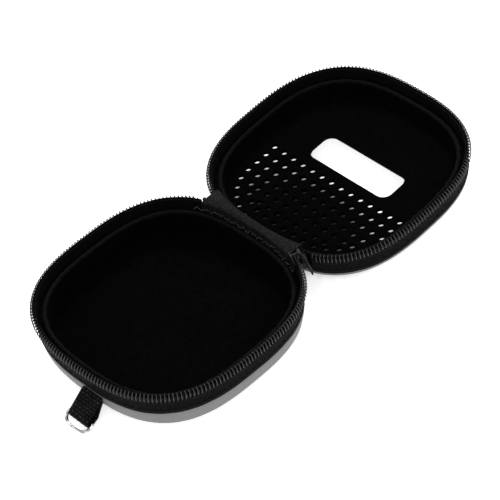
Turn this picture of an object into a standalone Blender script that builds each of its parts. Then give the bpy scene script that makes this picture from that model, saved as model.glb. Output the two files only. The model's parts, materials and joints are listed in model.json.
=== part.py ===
"""Hard-shell headphone carrying case with a zip, lying open on its base.

Two moulded cups meet at a zip and are joined by a cloth hinge. The base stands on z = 0, with the
origin at the centre of its flat bottom. +X runs along the hinge and +Y from the base to the lid.

Both cups share one plan outline. Each is drawn as a half: its rim plane is z = 0, the cup hangs below
it, and a profile is a list of (inset, z) points, the inset measured inwards from the outline.
"""
import math

import bmesh
import bpy
from mathutils import Vector

MM = 0.001

# Plan outline, in millimetres: two half superellipses that meet on the widest line.
HALF_WIDTH = 44.4
HINGE_REACH = 44.1
FRONT_REACH = 44.3
HINGE_EXPONENT = 2.75
FRONT_EXPONENT = 2.72
RING_STEPS = 40
TURN = 2 * math.pi

# Depths below the rim plane.
BASE_DEPTH = 20.6
LID_DEPTH = 14.6
BASE_CORNER = 6.0
LID_CORNER = 3.2

# Layers of the wall, from the outside in. GAP is the clearance between touching pieces.
GAP = 0.3
TAPE_OUTER = 0.5
TAPE_THICKNESS = 0.6
SHELL_RIM_INSET = TAPE_OUTER + TAPE_THICKNESS + GAP
SHELL_BULGE_INSET = 0.7
SHELL_THICKNESS = 2.2
BASE_FLOOR = 2.2
LID_FLOOR = 1.3
WALL_DRAFT = 0.8
INNER_GAP = 0.4
LINING_INSET = SHELL_RIM_INSET + SHELL_THICKNESS + INNER_GAP
LINING_THICKNESS = 0.8
LINING_CORNER = 2.6
SHELL_RIM_Z = -6.3
LEDGE_DROP = 0.4
LINING_RIM_Z = -6.6
PAD_THICKNESS = 1.6
PAD_INSET = 7.4

# Zip and trim.
TAPE_TOP = -1.2
TAPE_BOTTOM = -10.9
COIL_OUTER = -0.9
COIL_INNER = 0.2
COIL_TOP = -0.3
COIL_BOTTOM = -3.4
THREAD_OUTER = -0.2
THREAD_INNER = 0.2
THREAD_Z = -9.0
THREAD_HALF = 0.2
PIPING_INSET = 3.7
PIPING_Z = -4.9
PIPING_RADIUS = 1.0
PIPING_SIDES = 6

# Hinge: a cloth strip outside, a woven ribbon inside, and the axis they fold about.
HINGE_Y = 43.9
HINGE_Z = -1.4
OPEN_TILT = math.radians(4.0)
CLOTH_HALF = 21.5
CLOTH_TOP = -0.4
RIBBON_HALF = 20.8
RIBBON_OUTER = 1.4
RIBBON_INNER = 1.9
RIBBON_TOP = -0.6
RIBBON_BOTTOM = -5.9
TAPE_END = 22.0
THREAD_MARGIN = 1.0
BASE_COIL_START = 22.3
LID_ZIP_START = 29.5
COIL_FAR_END = 24.6
STOP_NEAR = 22.4
STOP_FAR = 24.2

# Holes through the lid, on a square grid that ends in rounded rings towards the hinge.
HOLE_PITCH = (5.0, 4.85)
HOLE_RADIUS = 1.15
HOLE_SIDES = 6
HOLE_COLUMNS = 14
FIRST_ROW = 3.0
FULL_ROWS = 4
RING_CENTRE = 5.0
RING_FLATTENING = 1.1
RING_QUARTER_STEPS = 24
WINDOW_SIZE = (41.0, 13.4)
WINDOW_CENTRE = -8.6
WINDOW_CORNER = 4.0
WINDOW_CORNER_STEPS = 4
CUTTER_BELOW = 2.0
CUTTER_ABOVE = 4.0

# Zip slider, in its own frame: t along the zip, n outwards, z up. It is parked at the hinge's end,
# and its run follows the circle through the outline's points at these three x.
SLIDER_X = 25.2
SLIDER_RUN = (21.5, 27.0, 32.5)
SLIDER_HALF_LENGTH = 3.1
SLIDER_HALF_HEIGHT = 2.5
BLOCK_OVERLAP = 0.1
OUTER_PLATE = (1.3, 2.0)
INNER_PLATE = (-2.4, -1.7)
POST = (-3.1, -2.2)
POST_Z = (0.0, 0.6)
BRIDGE_HALF_LENGTH = 1.8
BRIDGE_LEG = 0.6
BRIDGE_TOP = (3.1, 3.7)
BRIDGE_HALF_WIDTH = 0.5
PULL_AXIS_N = 2.55
PULL_HALF_THICKNESS = 0.25
PULL_EYE = (0.3, 2.4)
PULL_EYE_HALF = 0.8
PULL_HALF_WIDTH = 1.5
PULL_LENGTH = 9.0

# D-ring and the webbing that holds it, on the front of the base.
STRAP_X = 6.5
STRAP_HALF_WIDTH = 5.0
STRAP_ROOT = ((-43.85, -11.4), (-44.9, -11.4))
STRAP_HEEL = ((-46.9, -17.2), (-43.85, -13.0))
RING_AXIS = (-50.9, -18.0)
STRAP_END_RADIUS = 2.05
STRAP_HOLE_RADIUS = 1.05
RING_WIRE = 0.6
RING_HALF_WIDTH = 6.1
RING_DEPTH = 4.7
RING_BOW_POWER = 0.6
RING_ARC_STEPS = 14
STRAP_END_STEPS = 8
RING_FLOOR_GAP = 0.05

COLORS = {
    "grey_skin": ((0.25, 0.25, 0.25), 0.5, 0.0),
    "black_fleece": ((0.008, 0.008, 0.008), 0.95, 0.0),
    "foam": ((0.02, 0.02, 0.02), 0.9, 0.0),
    "black_tape": ((0.014, 0.014, 0.014), 0.75, 0.0),
    "black_nylon": ((0.02, 0.02, 0.021), 0.35, 0.0),
    "black_thread": ((0.02, 0.02, 0.02), 0.6, 0.0),
    "black_metal": ((0.02, 0.02, 0.02), 0.3, 1.0),
    "chrome": ((0.75, 0.75, 0.76), 0.08, 1.0),
}


def clear_scene():
    for obj in list(bpy.data.objects):
        bpy.data.objects.remove(obj, do_unlink=True)


def new_collection(name):
    collection = bpy.data.collections.new(name)
    bpy.context.scene.collection.children.link(collection)
    return collection


def make_material(name):
    color, roughness, metallic = COLORS[name]
    material = bpy.data.materials.get(name) or bpy.data.materials.new(name)
    material.use_nodes = True
    shader = material.node_tree.nodes["Principled BSDF"]
    shader.inputs["Base Color"].default_value = (*color, 1.0)
    shader.inputs["Roughness"].default_value = roughness
    shader.inputs["Metallic"].default_value = metallic
    return material


def add_object(name, bm, material, half, origin=(0, 0, 0)):
    """Make an object from a bmesh in millimetres, whose origin moves to the given point."""
    bmesh.ops.translate(bm, vec=-Vector(origin), verts=bm.verts)
    bmesh.ops.scale(bm, vec=(MM, MM, MM), verts=bm.verts)
    bmesh.ops.recalc_face_normals(bm, faces=bm.faces)
    mesh = bpy.data.meshes.new(name)
    bm.to_mesh(mesh)
    bm.free()
    mesh.shade_smooth()
    mesh.set_sharp_from_angle(angle=math.radians(35))
    obj = bpy.data.objects.new(name, mesh)
    half["collection"].objects.link(obj)
    obj.parent = half["empty"]
    obj.location = (Vector(half["offset"]) + Vector(origin)) * MM
    if material:
        mesh.materials.append(make_material(material))
    return obj


def add_empty(name, collection, location, tilt=0.0):
    empty = bpy.data.objects.new(name, None)
    collection.objects.link(empty)
    empty.location = Vector(location) * MM
    empty.rotation_euler.x = tilt
    return empty


# Plan outline

def outline_point(theta):
    """Point of the plan outline at an angle from +X. The hinge is on the +Y side."""
    c, s = math.cos(theta), math.sin(theta)
    reach, exponent = (HINGE_REACH, HINGE_EXPONENT) if s >= 0 else (FRONT_REACH, FRONT_EXPONENT)
    total = abs(c / HALF_WIDTH) ** exponent + abs(s / reach) ** exponent
    return Vector((c, s)) * total ** (-1 / exponent)


def outline_normal(theta):
    step = 0.01
    tangent = outline_point(theta + step) - outline_point(theta - step)
    return Vector((tangent.y, -tangent.x)).normalized()


def inset_point(theta, inset):
    return outline_point(theta) - outline_normal(theta) * inset


def angle_at(x):
    """Angle of the outline's point with this x, on the hinge side."""
    y = HINGE_REACH * (1 - abs(x / HALF_WIDTH) ** HINGE_EXPONENT) ** (1 / HINGE_EXPONENT)
    return math.atan2(y, x)


def full_ring():
    return [TURN * i / RING_STEPS for i in range(RING_STEPS)]


def spread(start, end):
    """Evenly spaced angles between two ends, about as dense as the full ring."""
    count = max(1, round(abs(end - start) / TURN * RING_STEPS))
    return [start + (end - start) * i / count for i in range(count + 1)]


def zip_run(right_x, left_x):
    """Angles from the hinge's right end, round the front, to its left end."""
    return spread(angle_at(right_x), angle_at(left_x) - TURN)


def hinge_run(half_length):
    return spread(angle_at(half_length), angle_at(-half_length))


# Sweeps

def sweep(profile, angles, side, closed_profile, closed_path):
    """Carry a profile of (inset, z) points round the outline. side is 1 for base and -1 for lid.

    An open profile starts and ends on the two flat faces that close the body.
    """
    bm = bmesh.new()
    columns = []
    for theta in angles:
        column = []
        for inset, z in profile:
            point = inset_point(theta, inset)
            column.append(bm.verts.new((point.x, side * point.y, z)))
        columns.append(column)
    size = len(profile)
    steps = size if closed_profile else size - 1
    spans = len(angles) if closed_path else len(angles) - 1
    for i in range(spans):
        near, far = columns[i], columns[(i + 1) % len(angles)]
        for j in range(steps):
            k = (j + 1) % size
            bm.faces.new((near[j], far[j], far[k], near[k]))
    if not closed_profile:
        bm.faces.new([column[0] for column in columns])
        bm.faces.new([column[-1] for column in columns])
    if not closed_path:
        bm.faces.new(columns[0])
        bm.faces.new(columns[-1])
    return bm


def band(outer, inner, top, bottom):
    return [(outer, top), (outer, bottom), (inner, bottom), (inner, top)]


def corner(centre_inset, centre_z, radius, steps):
    """Quarter circle from a wall, down and in to the bottom."""
    turns = [math.pi / 2 * i / steps for i in range(steps + 1)]
    return [(centre_inset - radius * math.cos(a), centre_z - radius * math.sin(a)) for a in turns]


# Pieces that both halves have

def make_shell(name, half, depth, radius, floor):
    wall = SHELL_BULGE_INSET + WALL_DRAFT
    inner_radius = radius - SHELL_THICKNESS
    ledge_z = TAPE_BOTTOM - LEDGE_DROP
    outer = [(SHELL_RIM_INSET, SHELL_RIM_Z), (SHELL_RIM_INSET, ledge_z), (SHELL_BULGE_INSET, ledge_z)]
    outer += corner(wall + radius, radius - depth, radius, 3)
    inner = corner(wall + radius, floor + inner_radius - depth, inner_radius, 2)
    inner.insert(0, (SHELL_RIM_INSET + SHELL_THICKNESS, SHELL_RIM_Z))
    bm = sweep(outer[::-1] + inner, full_ring(), half["side"], False, True)
    return add_object(name, bm, "grey_skin", half)


def make_lining(name, half, floor_z):
    centre = (LINING_INSET + LINING_CORNER, floor_z + LINING_CORNER)
    outer = [(LINING_INSET, LINING_RIM_Z)]
    outer += corner(*centre, LINING_CORNER, 2)
    inner = [(LINING_INSET + LINING_THICKNESS, LINING_RIM_Z)]
    inner += corner(*centre, LINING_CORNER - LINING_THICKNESS, 2)
    bm = sweep(outer[::-1] + inner, full_ring(), half["side"], False, True)
    return add_object(name, bm, "black_fleece", half)


def make_piping(name, half):
    turns = [TURN * (i + 0.5) / PIPING_SIDES for i in range(PIPING_SIDES)]
    profile = [(PIPING_INSET + PIPING_RADIUS * math.cos(a), PIPING_Z + PIPING_RADIUS * math.sin(a))
               for a in turns]
    bm = sweep(profile, full_ring(), half["side"], True, True)
    return add_object(name, bm, "black_tape", half)


def make_band(name, half, angles, profile, material):
    bm = sweep(profile, angles, half["side"], True, False)
    return add_object(name, bm, material, half)


def make_trim(prefix, half, zip_start, coil_start):
    """Zip tape, coil, seam, stops and the hinge's cloth and ribbon, on one half."""
    coil = band(COIL_OUTER, COIL_INNER, COIL_TOP, COIL_BOTTOM)
    tape = band(TAPE_OUTER, TAPE_OUTER + TAPE_THICKNESS, TAPE_TOP, TAPE_BOTTOM)
    thread = band(THREAD_OUTER, THREAD_INNER, THREAD_Z + THREAD_HALF, THREAD_Z - THREAD_HALF)
    cloth = band(TAPE_OUTER, TAPE_OUTER + TAPE_THICKNESS, CLOTH_TOP, TAPE_BOTTOM)
    ribbon = band(RIBBON_OUTER, RIBBON_INNER, RIBBON_TOP, RIBBON_BOTTOM)
    make_band(prefix + "_zip_tape", half, zip_run(zip_start, -TAPE_END), tape, "black_tape")
    make_band(prefix + "_zip_coil", half, zip_run(coil_start, -COIL_FAR_END), coil, "black_nylon")
    seam = zip_run(zip_start + THREAD_MARGIN, -TAPE_END - THREAD_MARGIN)
    make_band(prefix + "_seam_thread", half, seam, thread, "black_thread")
    stop = spread(angle_at(-STOP_NEAR), angle_at(-STOP_FAR))
    make_band(prefix + "_zip_stop", half, stop, coil, "black_metal")
    make_band(prefix + "_hinge_cloth", half, hinge_run(CLOTH_HALF), cloth, "black_tape")
    make_band(prefix + "_hinge_ribbon", half, hinge_run(RIBBON_HALF), ribbon, "black_tape")
    make_piping(prefix + "_piping", half)


# Base

def make_base(half):
    make_shell("base_shell", half, BASE_DEPTH, BASE_CORNER, BASE_FLOOR)
    shell_floor = BASE_FLOOR - BASE_DEPTH
    pad_top = shell_floor + INNER_GAP + PAD_THICKNESS
    make_lining("base_lining", half, pad_top + GAP)
    pad = [(PAD_INSET, pad_top), (PAD_INSET, pad_top - PAD_THICKNESS)]
    bm = sweep(pad, full_ring(), half["side"], False, True)
    add_object("base_pad", bm, "foam", half)
    make_trim("base", half, TAPE_END, BASE_COIL_START)
    make_strap(half)


def make_strap(half):
    """Webbing folded round the D-ring's bar, as one flat outline extruded to its width."""
    start = math.atan2(STRAP_ROOT[1][1] - RING_AXIS[1], STRAP_ROOT[1][0] - RING_AXIS[0]) + math.pi / 2
    arc = [start + math.pi * i / STRAP_END_STEPS for i in range(STRAP_END_STEPS + 1)]
    end = [(RING_AXIS[0] + STRAP_END_RADIUS * math.cos(a), RING_AXIS[1] + STRAP_END_RADIUS * math.sin(a))
           for a in arc]
    outline = list(STRAP_ROOT) + end + list(STRAP_HEEL)
    bm = bmesh.new()
    verts = [bm.verts.new((STRAP_X - STRAP_HALF_WIDTH, y, z)) for y, z in outline]
    face = bm.faces.new(verts)
    extruded = bmesh.ops.extrude_face_region(bm, geom=[face])["geom"]
    moved = [item for item in extruded if isinstance(item, bmesh.types.BMVert)]
    bmesh.ops.translate(bm, vec=(2 * STRAP_HALF_WIDTH, 0, 0), verts=moved)
    strap = add_object("strap_loop", bm, "black_tape", half)

    bm = bmesh.new()
    bmesh.ops.create_cone(bm, cap_ends=True, segments=12, radius1=STRAP_HOLE_RADIUS,
                          radius2=STRAP_HOLE_RADIUS, depth=4 * STRAP_HALF_WIDTH)
    turn_to_x(bm)
    bmesh.ops.translate(bm, vec=(STRAP_X, *RING_AXIS), verts=bm.verts)
    cut(strap, add_cutter("strap_hole", bm, half))


def turn_to_x(bm):
    for vert in bm.verts:
        vert.co = Vector((vert.co.z, vert.co.x, vert.co.y))


def make_d_ring(half):
    """Wire bent into a D. Its origin is on the bar that the strap holds."""
    drop = RING_AXIS[1] + BASE_DEPTH - RING_WIRE - RING_FLOOR_GAP
    droop = math.asin(drop / RING_DEPTH)
    points = [(RING_HALF_WIDTH, 0), (-RING_HALF_WIDTH, 0)]
    for i in range(1, RING_ARC_STEPS):
        a = math.pi * i / RING_ARC_STEPS
        across = math.copysign(abs(math.cos(a)) ** RING_BOW_POWER, -math.cos(a))
        points.append((RING_HALF_WIDTH * across, RING_DEPTH * math.sin(a)))
    curve = bpy.data.curves.new("d_ring", "CURVE")
    curve.dimensions = "3D"
    curve.bevel_depth = RING_WIRE * MM
    curve.bevel_resolution = 2
    spline = curve.splines.new("POLY")
    spline.points.add(len(points) - 1)
    for target, (x, reach) in zip(spline.points, points):
        target.co = (x * MM, -reach * math.cos(droop) * MM, -reach * math.sin(droop) * MM, 1)
    spline.use_cyclic_u = True
    ring = bpy.data.objects.new("d_ring", curve)
    half["collection"].objects.link(ring)
    ring.parent = half["empty"]
    ring.location = (Vector(half["offset"]) + Vector((STRAP_X, *RING_AXIS))) * MM
    curve.materials.append(make_material("chrome"))


# Slider and pull

def slider_place():
    """Middle of the parked slider on the outline, and its two plan directions."""
    theta = angle_at(SLIDER_X)
    normal = outline_normal(theta)
    return outline_point(theta), Vector((normal.y, -normal.x)), normal


def slider_run_centre():
    """Centre of the circle through three points of the outline, which is the slider's own axis."""
    first, second, third = (outline_point(angle_at(x)) for x in SLIDER_RUN)
    a, b = second - first, third - first
    scale = 2 * (a.x * b.y - a.y * b.x)
    x = (b.y * a.length_squared - a.y * b.length_squared) / scale
    y = (a.x * b.length_squared - b.x * a.length_squared) / scale
    return first + Vector((x, y))


def add_block(bm, t, n, z):
    """A box between the given limits of t, n and z."""
    centre, along, normal = slider_place()
    made = bmesh.ops.create_cube(bm, size=1)["verts"]
    for vert in made:
        place = [limits[0] + (limits[1] - limits[0]) * (co + 0.5) for limits, co in zip((t, n, z), vert.co)]
        flat = centre + along * place[0] + normal * place[1]
        vert.co = (flat.x, flat.y, place[2])


def make_slider(half):
    height = (-SLIDER_HALF_HEIGHT, SLIDER_HALF_HEIGHT)
    length = (-SLIDER_HALF_LENGTH, SLIDER_HALF_LENGTH)
    width = (-BRIDGE_HALF_WIDTH, BRIDGE_HALF_WIDTH)
    leg_inner = BRIDGE_HALF_LENGTH - BRIDGE_LEG
    lap = BLOCK_OVERLAP
    blocks = [
        (length, INNER_PLATE, height),
        ((POST[0] + lap, POST[1]), (INNER_PLATE[0] + lap, OUTER_PLATE[1] - lap), POST_Z),
        ((-BRIDGE_HALF_LENGTH, -leg_inner), (OUTER_PLATE[1] - 2 * lap, BRIDGE_TOP[1]), width),
        ((leg_inner, BRIDGE_HALF_LENGTH), (OUTER_PLATE[1] - 2 * lap, BRIDGE_TOP[1]), width),
        ((-BRIDGE_HALF_LENGTH + lap, BRIDGE_HALF_LENGTH - lap), (BRIDGE_TOP[0], BRIDGE_TOP[1] - lap),
         (width[0] + lap, width[1] - lap)),
    ]
    axis = slider_run_centre()
    bm = bmesh.new()
    add_block(bm, length, OUTER_PLATE, height)
    slider = add_object("zip_slider", bm, "black_metal", half, (axis.x, axis.y, 0))
    for index, block in enumerate(blocks):
        bm = bmesh.new()
        add_block(bm, *block)
        join(slider, add_cutter(f"slider_block_{index}", bm, half))


def make_pull(half):
    centre, _, normal = slider_place()
    pivot = centre + normal * PULL_AXIS_N
    thick = (PULL_AXIS_N - PULL_HALF_THICKNESS, PULL_AXIS_N + PULL_HALF_THICKNESS)
    bm = bmesh.new()
    add_block(bm, (-PULL_HALF_THICKNESS, PULL_LENGTH), thick, (-PULL_HALF_WIDTH, PULL_HALF_WIDTH))
    pull = add_object("zip_pull", bm, "black_metal", half, (pivot.x, pivot.y, 0))
    bm = bmesh.new()
    add_block(bm, PULL_EYE, (0, 2 * PULL_AXIS_N), (-PULL_EYE_HALF, PULL_EYE_HALF))
    cut(pull, add_cutter("pull_eye", bm, half))


# Lid

def ring_points(inset_pitches):
    """A row that runs down one side of the hole field, round its corner, along its end and back up."""
    first_full = FULL_ROWS - 1
    across = RING_CENTRE - inset_pitches
    down = across - RING_FLATTENING
    quarter = [math.pi / 2 * i / RING_QUARTER_STEPS for i in range(RING_QUARTER_STEPS + 1)]
    left = [Vector((RING_CENTRE - across * math.cos(a), first_full + down * math.sin(a))) for a in quarter]
    last_column = HOLE_COLUMNS - 1
    path = left + [Vector((last_column - p.x, p.y)) for p in reversed(left)]
    lengths = [0.0]
    for near, far in zip(path, path[1:]):
        lengths.append(lengths[-1] + (far - near).length)
    count = round(lengths[-1])
    points = []
    for k in range(1, count):
        goal = lengths[-1] * k / count
        j = next(i for i in range(1, len(path)) if lengths[i] >= goal)
        share = (goal - lengths[j - 1]) / (lengths[j] - lengths[j - 1])
        points.append(path[j - 1].lerp(path[j], share))
    return points


def hole_places():
    """Hole centres on the lid: x, and y positive away from the hinge."""
    grid = [(column, row) for row in range(FULL_ROWS) for column in range(HOLE_COLUMNS)]
    grid += [(column, FULL_ROWS) for column in range(2, HOLE_COLUMNS - 2)]
    grid += [(column, FULL_ROWS + 1) for column in range(3, HOLE_COLUMNS - 3)]
    grid += [(point.x, point.y) for inset in (0, 1) for point in ring_points(inset)]
    middle = (HOLE_COLUMNS - 1) / 2
    return [((column - middle) * HOLE_PITCH[0], -FIRST_ROW - row * HOLE_PITCH[1]) for column, row in grid]


def add_prism(bm, outline, bottom, top):
    lower = [bm.verts.new((x, y, bottom)) for x, y in outline]
    upper = [bm.verts.new((x, y, top)) for x, y in outline]
    bm.faces.new(lower[::-1])
    bm.faces.new(upper)
    for i in range(len(outline)):
        j = (i + 1) % len(outline)
        bm.faces.new((lower[i], lower[j], upper[j], upper[i]))


def window_outline():
    half_x, half_y = WINDOW_SIZE[0] / 2 - WINDOW_CORNER, WINDOW_SIZE[1] / 2 - WINDOW_CORNER
    outline = []
    for quarter, (sx, sy) in enumerate(((1, 1), (-1, 1), (-1, -1), (1, -1))):
        for i in range(WINDOW_CORNER_STEPS + 1):
            a = math.pi / 2 * (quarter + i / WINDOW_CORNER_STEPS)
            outline.append((sx * half_x + WINDOW_CORNER * math.cos(a),
                            sy * half_y - WINDOW_CENTRE + WINDOW_CORNER * math.sin(a)))
    return outline


def hole_outline(x, y):
    turns = [TURN * i / HOLE_SIDES for i in range(HOLE_SIDES)]
    return [(x + HOLE_RADIUS * math.cos(a), y + HOLE_RADIUS * math.sin(a)) for a in turns]


def make_lid(half):
    shell = make_shell("lid_shell", half, LID_DEPTH, LID_CORNER, LID_FLOOR)
    lining = make_lining("lid_lining", half, LID_FLOOR - LID_DEPTH + GAP)
    bm = bmesh.new()
    bottom, top = -LID_DEPTH - CUTTER_BELOW, LID_FLOOR - LID_DEPTH + CUTTER_ABOVE
    for x, y in hole_places():
        add_prism(bm, hole_outline(x, y), bottom, top)
    add_prism(bm, window_outline(), bottom, top)
    cutter = add_cutter("lid_holes", bm, half)
    cut(shell, cutter)
    cut(lining, cutter)
    make_trim("lid", half, LID_ZIP_START, LID_ZIP_START)


# Booleans

def add_cutter(name, bm, half):
    cutter = add_object(name, bm, None, dict(half, collection=half["cutters"]))
    cutter.hide_render = True
    cutter.display_type = "WIRE"
    return cutter


def add_boolean(obj, other, operation):
    modifier = obj.modifiers.new(other.name, "BOOLEAN")
    modifier.operation = operation
    modifier.solver = "EXACT"
    modifier.object = other


def cut(obj, cutter):
    add_boolean(obj, cutter, "DIFFERENCE")


def join(obj, block):
    add_boolean(obj, block, "UNION")


def main():
    clear_scene()
    case = new_collection("headphone_case")
    cutters = new_collection("cutters")
    base_empty = add_empty("base_rim", case, (0, 0, BASE_DEPTH))
    lid_empty = add_empty("lid_hinge_axis", case, (0, HINGE_Y, BASE_DEPTH + HINGE_Z), OPEN_TILT)
    base = {"collection": case, "cutters": cutters, "empty": base_empty, "side": 1, "offset": (0, 0, 0)}
    lid = {"collection": case, "cutters": cutters, "empty": lid_empty, "side": -1,
           "offset": (0, HINGE_Y, HINGE_Z)}
    make_base(base)
    make_d_ring(base)
    make_slider(base)
    make_pull(base)
    make_lid(lid)


main()
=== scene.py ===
"""Looks for the open headphone carrying case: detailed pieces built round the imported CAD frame.

Lengths are in millimetres until a mesh is made, and the row frame is in metres. Each half of the case
is drawn with its rim plane at z = 0 and its cup below, as rings of (inset, z) round one plan outline.
"""
import json
import math

import bmesh
import bpy
import numpy as np
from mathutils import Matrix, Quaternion, Vector
from mathutils.geometry import delaunay_2d_cdt


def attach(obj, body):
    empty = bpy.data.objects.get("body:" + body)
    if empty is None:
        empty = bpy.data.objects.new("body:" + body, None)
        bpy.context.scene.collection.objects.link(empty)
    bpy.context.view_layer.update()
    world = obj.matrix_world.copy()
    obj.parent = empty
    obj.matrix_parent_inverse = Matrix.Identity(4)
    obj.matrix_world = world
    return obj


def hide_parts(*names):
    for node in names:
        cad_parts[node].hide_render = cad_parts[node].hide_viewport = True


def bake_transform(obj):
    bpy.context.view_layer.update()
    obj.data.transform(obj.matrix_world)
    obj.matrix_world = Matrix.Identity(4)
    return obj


MM = 0.001
TURN = 2 * math.pi

# Plan outline, the same as the CAD's.
HALF_WIDTH = 44.4
HINGE_REACH = 44.1
FRONT_REACH = 44.3
HINGE_EXPONENT = 2.75
FRONT_EXPONENT = 2.72
TABLE_STEPS = 4000

# Depths and layers.
BASE_DEPTH = 20.6
LID_DEPTH = 14.6
RIM_TO_AXIS = 1.4
OPEN_TILT = math.radians(4.0)
LID_DOME = 1.4
TAPE = (0.5, 1.1, -1.2, -10.9)
SEAM = (0.38, -9.4)
PIPING_LINE = (3.7, -5.1)
PIPING_RADIUS = 0.85
COIL_MIDDLE = (-0.4, -1.6)
COIL_AXES = (1.35, 0.42)
COIL_CORE = (-0.25, 0.5, -1.0, -2.9)
COIL_TILT = math.radians(22)
COIL_LEAN = 0.34
COIL_PITCH = 1.42
COIL_STEPS = 14
STRAND = 0.12
STRAND_SWELL = 0.09

# Where the zip's layers end on the left of the hinge, as x.
TAPE_END = -22.0
SEAM_END = -23.0
STOP_X = -23.3
COIL_END = -24.6
TICKS_END = -25.0

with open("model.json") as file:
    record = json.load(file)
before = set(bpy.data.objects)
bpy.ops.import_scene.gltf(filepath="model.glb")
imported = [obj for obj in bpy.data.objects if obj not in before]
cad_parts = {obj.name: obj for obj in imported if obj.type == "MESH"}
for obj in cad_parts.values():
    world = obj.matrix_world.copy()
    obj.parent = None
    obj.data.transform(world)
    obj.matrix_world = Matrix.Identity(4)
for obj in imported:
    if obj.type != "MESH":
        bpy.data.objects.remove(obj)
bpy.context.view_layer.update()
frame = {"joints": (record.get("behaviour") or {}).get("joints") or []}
joints = {joint["name"]: Vector(joint["pos_m"]) / MM for joint in frame["joints"]}
HINGE = joints["lid_hinge"]


# Outline

def unit(vectors):
    return vectors / np.linalg.norm(vectors, axis=-1, keepdims=True)


def outline_points(theta):
    c, s = np.cos(theta), np.sin(theta)
    reach = np.where(s >= 0, HINGE_REACH, FRONT_REACH)
    exponent = np.where(s >= 0, HINGE_EXPONENT, FRONT_EXPONENT)
    total = np.abs(c / HALF_WIDTH) ** exponent + np.abs(s / reach) ** exponent
    return np.stack([c, s], -1) * (total ** (-1 / exponent))[..., None]


def outline_normals(theta):
    step = 0.01
    tangent = outline_points(theta + step) - outline_points(theta - step)
    return unit(np.stack([tangent[..., 1], -tangent[..., 0]], -1))


def outward(theta):
    """The outline's normals as directions in space."""
    return np.concatenate([outline_normals(theta), np.zeros((len(theta), 1))], 1)


table_theta = np.linspace(-TURN, TURN, TABLE_STEPS)
table_step = np.linalg.norm(np.diff(outline_points(table_theta), axis=0), axis=1)
table_length = np.concatenate([[0], np.cumsum(table_step)])


def length_at(theta):
    return np.interp(theta, table_theta, table_length)


def theta_at(length):
    return np.interp(length, table_length, table_theta)


def angle_at(x):
    """Angle of the outline's point with this x, on the hinge side."""
    y = HINGE_REACH * (1 - abs(x / HALF_WIDTH) ** HINGE_EXPONENT) ** (1 / HINGE_EXPONENT)
    return math.atan2(y, x)


def even_angles(start, end, spacing):
    """Angles from start to end whose points are evenly spaced along the outline."""
    a, b = length_at(start), length_at(end)
    count = max(2, int(round(abs(b - a) / spacing)) + 1)
    return theta_at(np.linspace(a, b, count))


def whole_ring(spacing):
    return even_angles(0, TURN, spacing)[:-1]


def zip_angles(right_x, left_x, spacing):
    """From the hinge's right end, round the front, to its left end."""
    return even_angles(angle_at(right_x), angle_at(left_x) - TURN, spacing)


# Halves

def base_place(points):
    return (np.asarray(points, float) + (0, 0, BASE_DEPTH)) * MM


def lid_place(points):
    """The lid is the base's mirror image, opened about the hinge axis."""
    p = np.array(points, float)
    y = -p[..., 1] + HINGE.y
    z = p[..., 2] - RIM_TO_AXIS
    c, s = math.cos(OPEN_TILT), math.sin(OPEN_TILT)
    placed = np.stack([p[..., 0], HINGE.y + y * c - z * s, HINGE.z + y * s + z * c], -1)
    return placed * MM


BASE = {"name": "base", "place": base_place}
LID = {"name": "lid", "place": lid_place}


def ring(theta, inset, z):
    """Points on the outline's inset line, at height z. inset and z are numbers, or vary along it."""
    flat = outline_points(theta) - outline_normals(theta) * np.asarray(inset)[..., None]
    heights = np.broadcast_to(np.asarray(z, float)[..., None], flat.shape[:-1] + (1,))
    return np.concatenate([flat, heights], -1)


def zip_frame(theta):
    """The outline's point at one angle, and the axes along the zip, outwards and up."""
    point, normal = outline_points(np.array(theta)), outline_normals(np.array(theta))
    axes = np.array((normal[1], -normal[0], 0)), np.array((*normal, 0)), np.array((0, 0, 1.0))
    return np.array((*point, 0)), axes


# Meshes

def make_object(name, verts, faces, uvs=None, smooth_angle=40):
    mesh = bpy.data.meshes.new(name)
    mesh.from_pydata([tuple(v) for v in np.asarray(verts).reshape(-1, 3)], [], faces)
    if uvs is not None:
        layer = mesh.uv_layers.new(name="UVMap")
        layer.data.foreach_set("uv", np.asarray(uvs, np.float32).ravel())
    obj = bpy.data.objects.new(name, mesh)
    bpy.context.scene.collection.objects.link(obj)
    face_out(obj)
    mesh.shade_smooth()
    mesh.set_sharp_from_angle(angle=math.radians(smooth_angle))
    return obj


def face_out(obj):
    bm = bmesh.new()
    bm.from_mesh(obj.data)
    bmesh.ops.recalc_face_normals(bm, faces=bm.faces)
    bm.to_mesh(obj.data)
    bm.free()


def grid_faces(columns, rows, closed_columns, closed_rows):
    """Quads of a grid, with each corner's place along and across it for the UVs."""
    faces, corners = [], []
    for i in range(columns if closed_columns else columns - 1):
        for j in range(rows if closed_rows else rows - 1):
            cells = [(i, j), (i + 1, j), (i + 1, j + 1), (i, j + 1)]
            faces.append([(a % columns) * rows + b % rows for a, b in cells])
            corners += cells
    return faces, corners


def run_lengths(points, closed):
    """Length along a line of points, with the closing length added when it is a loop."""
    points = np.asarray(points, float)
    if closed:
        points = np.concatenate([points, points[:1]])
    steps = np.linalg.norm(np.diff(points, axis=0), axis=1)
    return np.concatenate([[0], np.cumsum(steps)])


def points_at(goals, lengths, line):
    """Points of a flat line at some of its running lengths."""
    return np.stack([np.interp(goals, lengths, line[:, 0]), np.interp(goals, lengths, line[:, 1])], -1)


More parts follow.
